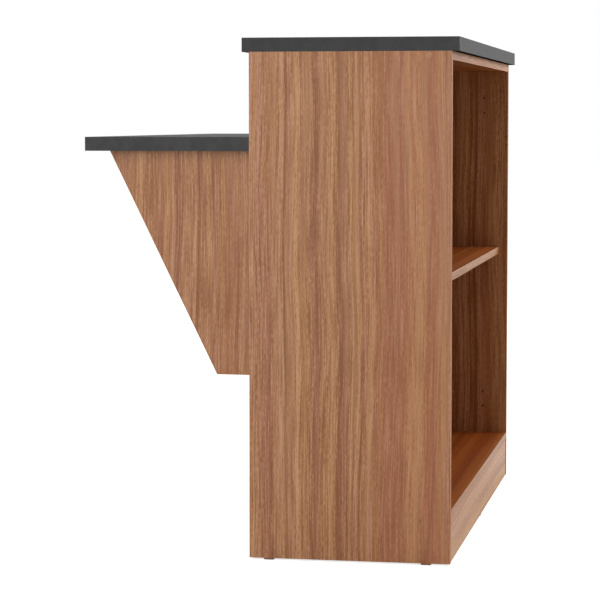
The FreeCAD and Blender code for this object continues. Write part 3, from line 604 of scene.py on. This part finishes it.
def make_shade_sheet():
    """A near-black sheet under the worktop where it overhangs the cabinet: painted shade."""
    top_low, top_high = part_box("counter_top_bands")
    cabinet_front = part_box("carcass_top_band")[0].y
    cabinet_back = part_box("closing_panel")[1].y
    shape = bmesh.new()
    for near, far in ((top_low.y, cabinet_front), (cabinet_back, top_high.y)):
        rings = []
        for inset, z in ((SHADE_SHEET_MARGIN, top_low.z),
                         (SHADE_SHEET_MARGIN + SHADE_SHEET_THICKNESS, top_low.z - SHADE_SHEET_THICKNESS)):
            rings.append([shape.verts.new((x, y, z)) for x, y in (
                (top_low.x + inset, near + inset), (top_high.x - inset, near + inset),
                (top_high.x - inset, far - inset), (top_low.x + inset, far - inset))])
        upper, lower = rings
        shape.faces.new(upper)
        shape.faces.new(lower)
        for i in range(4):
            j = (i + 1) % 4
            shape.faces.new((upper[i], upper[j], lower[j], lower[i]))
    bmesh.ops.recalc_face_normals(shape, faces=shape.faces)
    mesh = bpy.data.meshes.new("worktop_shade_sheet")
    shape.to_mesh(mesh)
    shape.free()
    shade_sheet = bpy.data.objects.new("worktop_shade_sheet", mesh)
    bpy.context.collection.objects.link(shade_sheet)
    finish = Finish("painted_shade_sheet", specular=0.0)
    _, cloud = finish.clouds(300.0, [(0.35, SHADE_SHEET_BLACK), (0.65, SHADE_SHEET_GREY)], detail=2.0)
    finish.sheen_from(cloud, 0.8, 1.0)
    finish.bump(cloud, 0.00003)
    mesh.materials.append(finish.material)
    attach(shade_sheet, "root")


# A dark sheet under the worktop's overhangs: painted shade.
make_shade_sheet()

# ---------------------------------------------------------------- stage, light and camera

CENTRE = (cad_low + cad_high) / 2
# The floor reaches this many metres each way. It has this colour, and the camera sees it lifted
# by this much towards white.
FLOOR_REACH = 30.0
FLOOR_COLOUR = (0.82, 0.82, 0.82, 1)
FLOOR_LIFT = 0.72
# The light from all round, where 1 is white.
AMBIENT = 0.46
# The square lamps: place and width in metres, and power in watts.
LAMPS = {
    "left_lamp": ((-4.0, 0.9, 1.9), 4.0, 92),
    "front_lamp": ((1.6, -3.5, 2.6), 3.0, 88),
    "desk_lamp": ((0.5, 4.0, 2.6), 3.0, 80),
    "right_lamp": ((4.0, -0.6, 2.4), 3.0, 60),
}
# The camera: its place in metres, the turn and height of its line of sight in degrees, its lens
# and sensor in millimetres, and its shift as a share of the sensor's width.
CAMERA_PLACE = (-4.46684, -0.79165, 0.78244)
CAMERA_AZIMUTH = -79.42
CAMERA_ELEVATION = 3.62
CAMERA_LENS = 136.57
CAMERA_SENSOR = 36.0
CAMERA_SHIFT = -0.0594


def make_floor():
    """A wide pale floor that takes the counter's shadow and runs into the white behind."""
    mesh = bpy.data.meshes.new("floor")
    corners = [(x * FLOOR_REACH, y * FLOOR_REACH, 0)
               for x, y in ((-1, -1), (1, -1), (1, 1), (-1, 1))]
    mesh.from_pydata(corners, [], [(0, 1, 2, 3)])
    floor = bpy.data.objects.new("floor", mesh)
    bpy.context.collection.objects.link(floor)
    material = bpy.data.materials.new("floor_white")
    material.use_nodes = True
    nodes = material.node_tree.nodes
    links = material.node_tree.links
    nodes.clear()
    seen = nodes.new("ShaderNodeLightPath")
    diffuse = nodes.new("ShaderNodeBsdfDiffuse")
    diffuse.inputs[0].default_value = FLOOR_COLOUR
    glow = nodes.new("ShaderNodeEmission")
    lift = nodes.new("ShaderNodeMath")
    lift.operation = "MULTIPLY"
    lift.inputs[1].default_value = FLOOR_LIFT
    both = nodes.new("ShaderNodeAddShader")
    out = nodes.new("ShaderNodeOutputMaterial")
    links.new(seen.outputs["Is Camera Ray"], lift.inputs[0])
    links.new(lift.outputs[0], glow.inputs["Strength"])
    links.new(diffuse.outputs[0], both.inputs[0])
    links.new(glow.outputs[0], both.inputs[1])
    links.new(both.outputs[0], out.inputs[0])
    mesh.materials.append(material)


def make_world():
    """White where the camera or a reflection sees it, and a plain level of light elsewhere."""
    world = bpy.data.worlds.new("studio")
    bpy.context.scene.world = world
    world.use_nodes = True
    nodes = world.node_tree.nodes
    links = world.node_tree.links
    back = nodes["Background"]
    back.inputs[0].default_value = (1, 1, 1, 1)
    seen = nodes.new("ShaderNodeLightPath")
    either = nodes.new("ShaderNodeMath")
    either.operation = "MAXIMUM"
    links.new(seen.outputs["Is Camera Ray"], either.inputs[0])
    links.new(seen.outputs["Is Glossy Ray"], either.inputs[1])
    level = nodes.new("ShaderNodeMapRange")
    level.inputs[3].default_value = AMBIENT
    level.inputs[4].default_value = 1.0
    links.new(either.outputs[0], level.inputs[0])
    links.new(level.outputs[0], back.inputs[1])


def make_softbox(name, where, size, power):
    """A square lamp that faces the middle of the counter."""
    lamp = bpy.data.lights.new(name, "AREA")
    lamp.shape = "SQUARE"
    lamp.size = size
    lamp.energy = power
    box = bpy.data.objects.new(name, lamp)
    bpy.context.collection.objects.link(box)
    box.location = where
    box.rotation_mode = "QUATERNION"
    box.rotation_quaternion = (CENTRE - Vector(where)).to_track_quat("-Z", "Y")


def make_camera():
    """The camera, which looks at the left side and the open front from a little above."""
    camera = bpy.data.cameras.new("camera")
    camera.sensor_width = CAMERA_SENSOR
    camera.lens = CAMERA_LENS
    camera.shift_y = CAMERA_SHIFT
    rig = bpy.data.objects.new("camera", camera)
    bpy.context.collection.objects.link(rig)
    azimuth, elevation = math.radians(CAMERA_AZIMUTH), math.radians(CAMERA_ELEVATION)
    back = Vector((math.sin(azimuth) * math.cos(elevation),
                   -math.cos(azimuth) * math.cos(elevation), math.sin(elevation)))
    rig.location = CAMERA_PLACE
    rig.rotation_mode = "QUATERNION"
    rig.rotation_quaternion = (-back).to_track_quat("-Z", "Y")
    bpy.context.scene.camera = rig


make_floor()
make_world()
for lamp_name, (lamp_place, lamp_size, lamp_power) in LAMPS.items():
    make_softbox(lamp_name, lamp_place, lamp_size, lamp_power)
make_camera()

bpy.context.scene.view_settings.view_transform = "Standard"
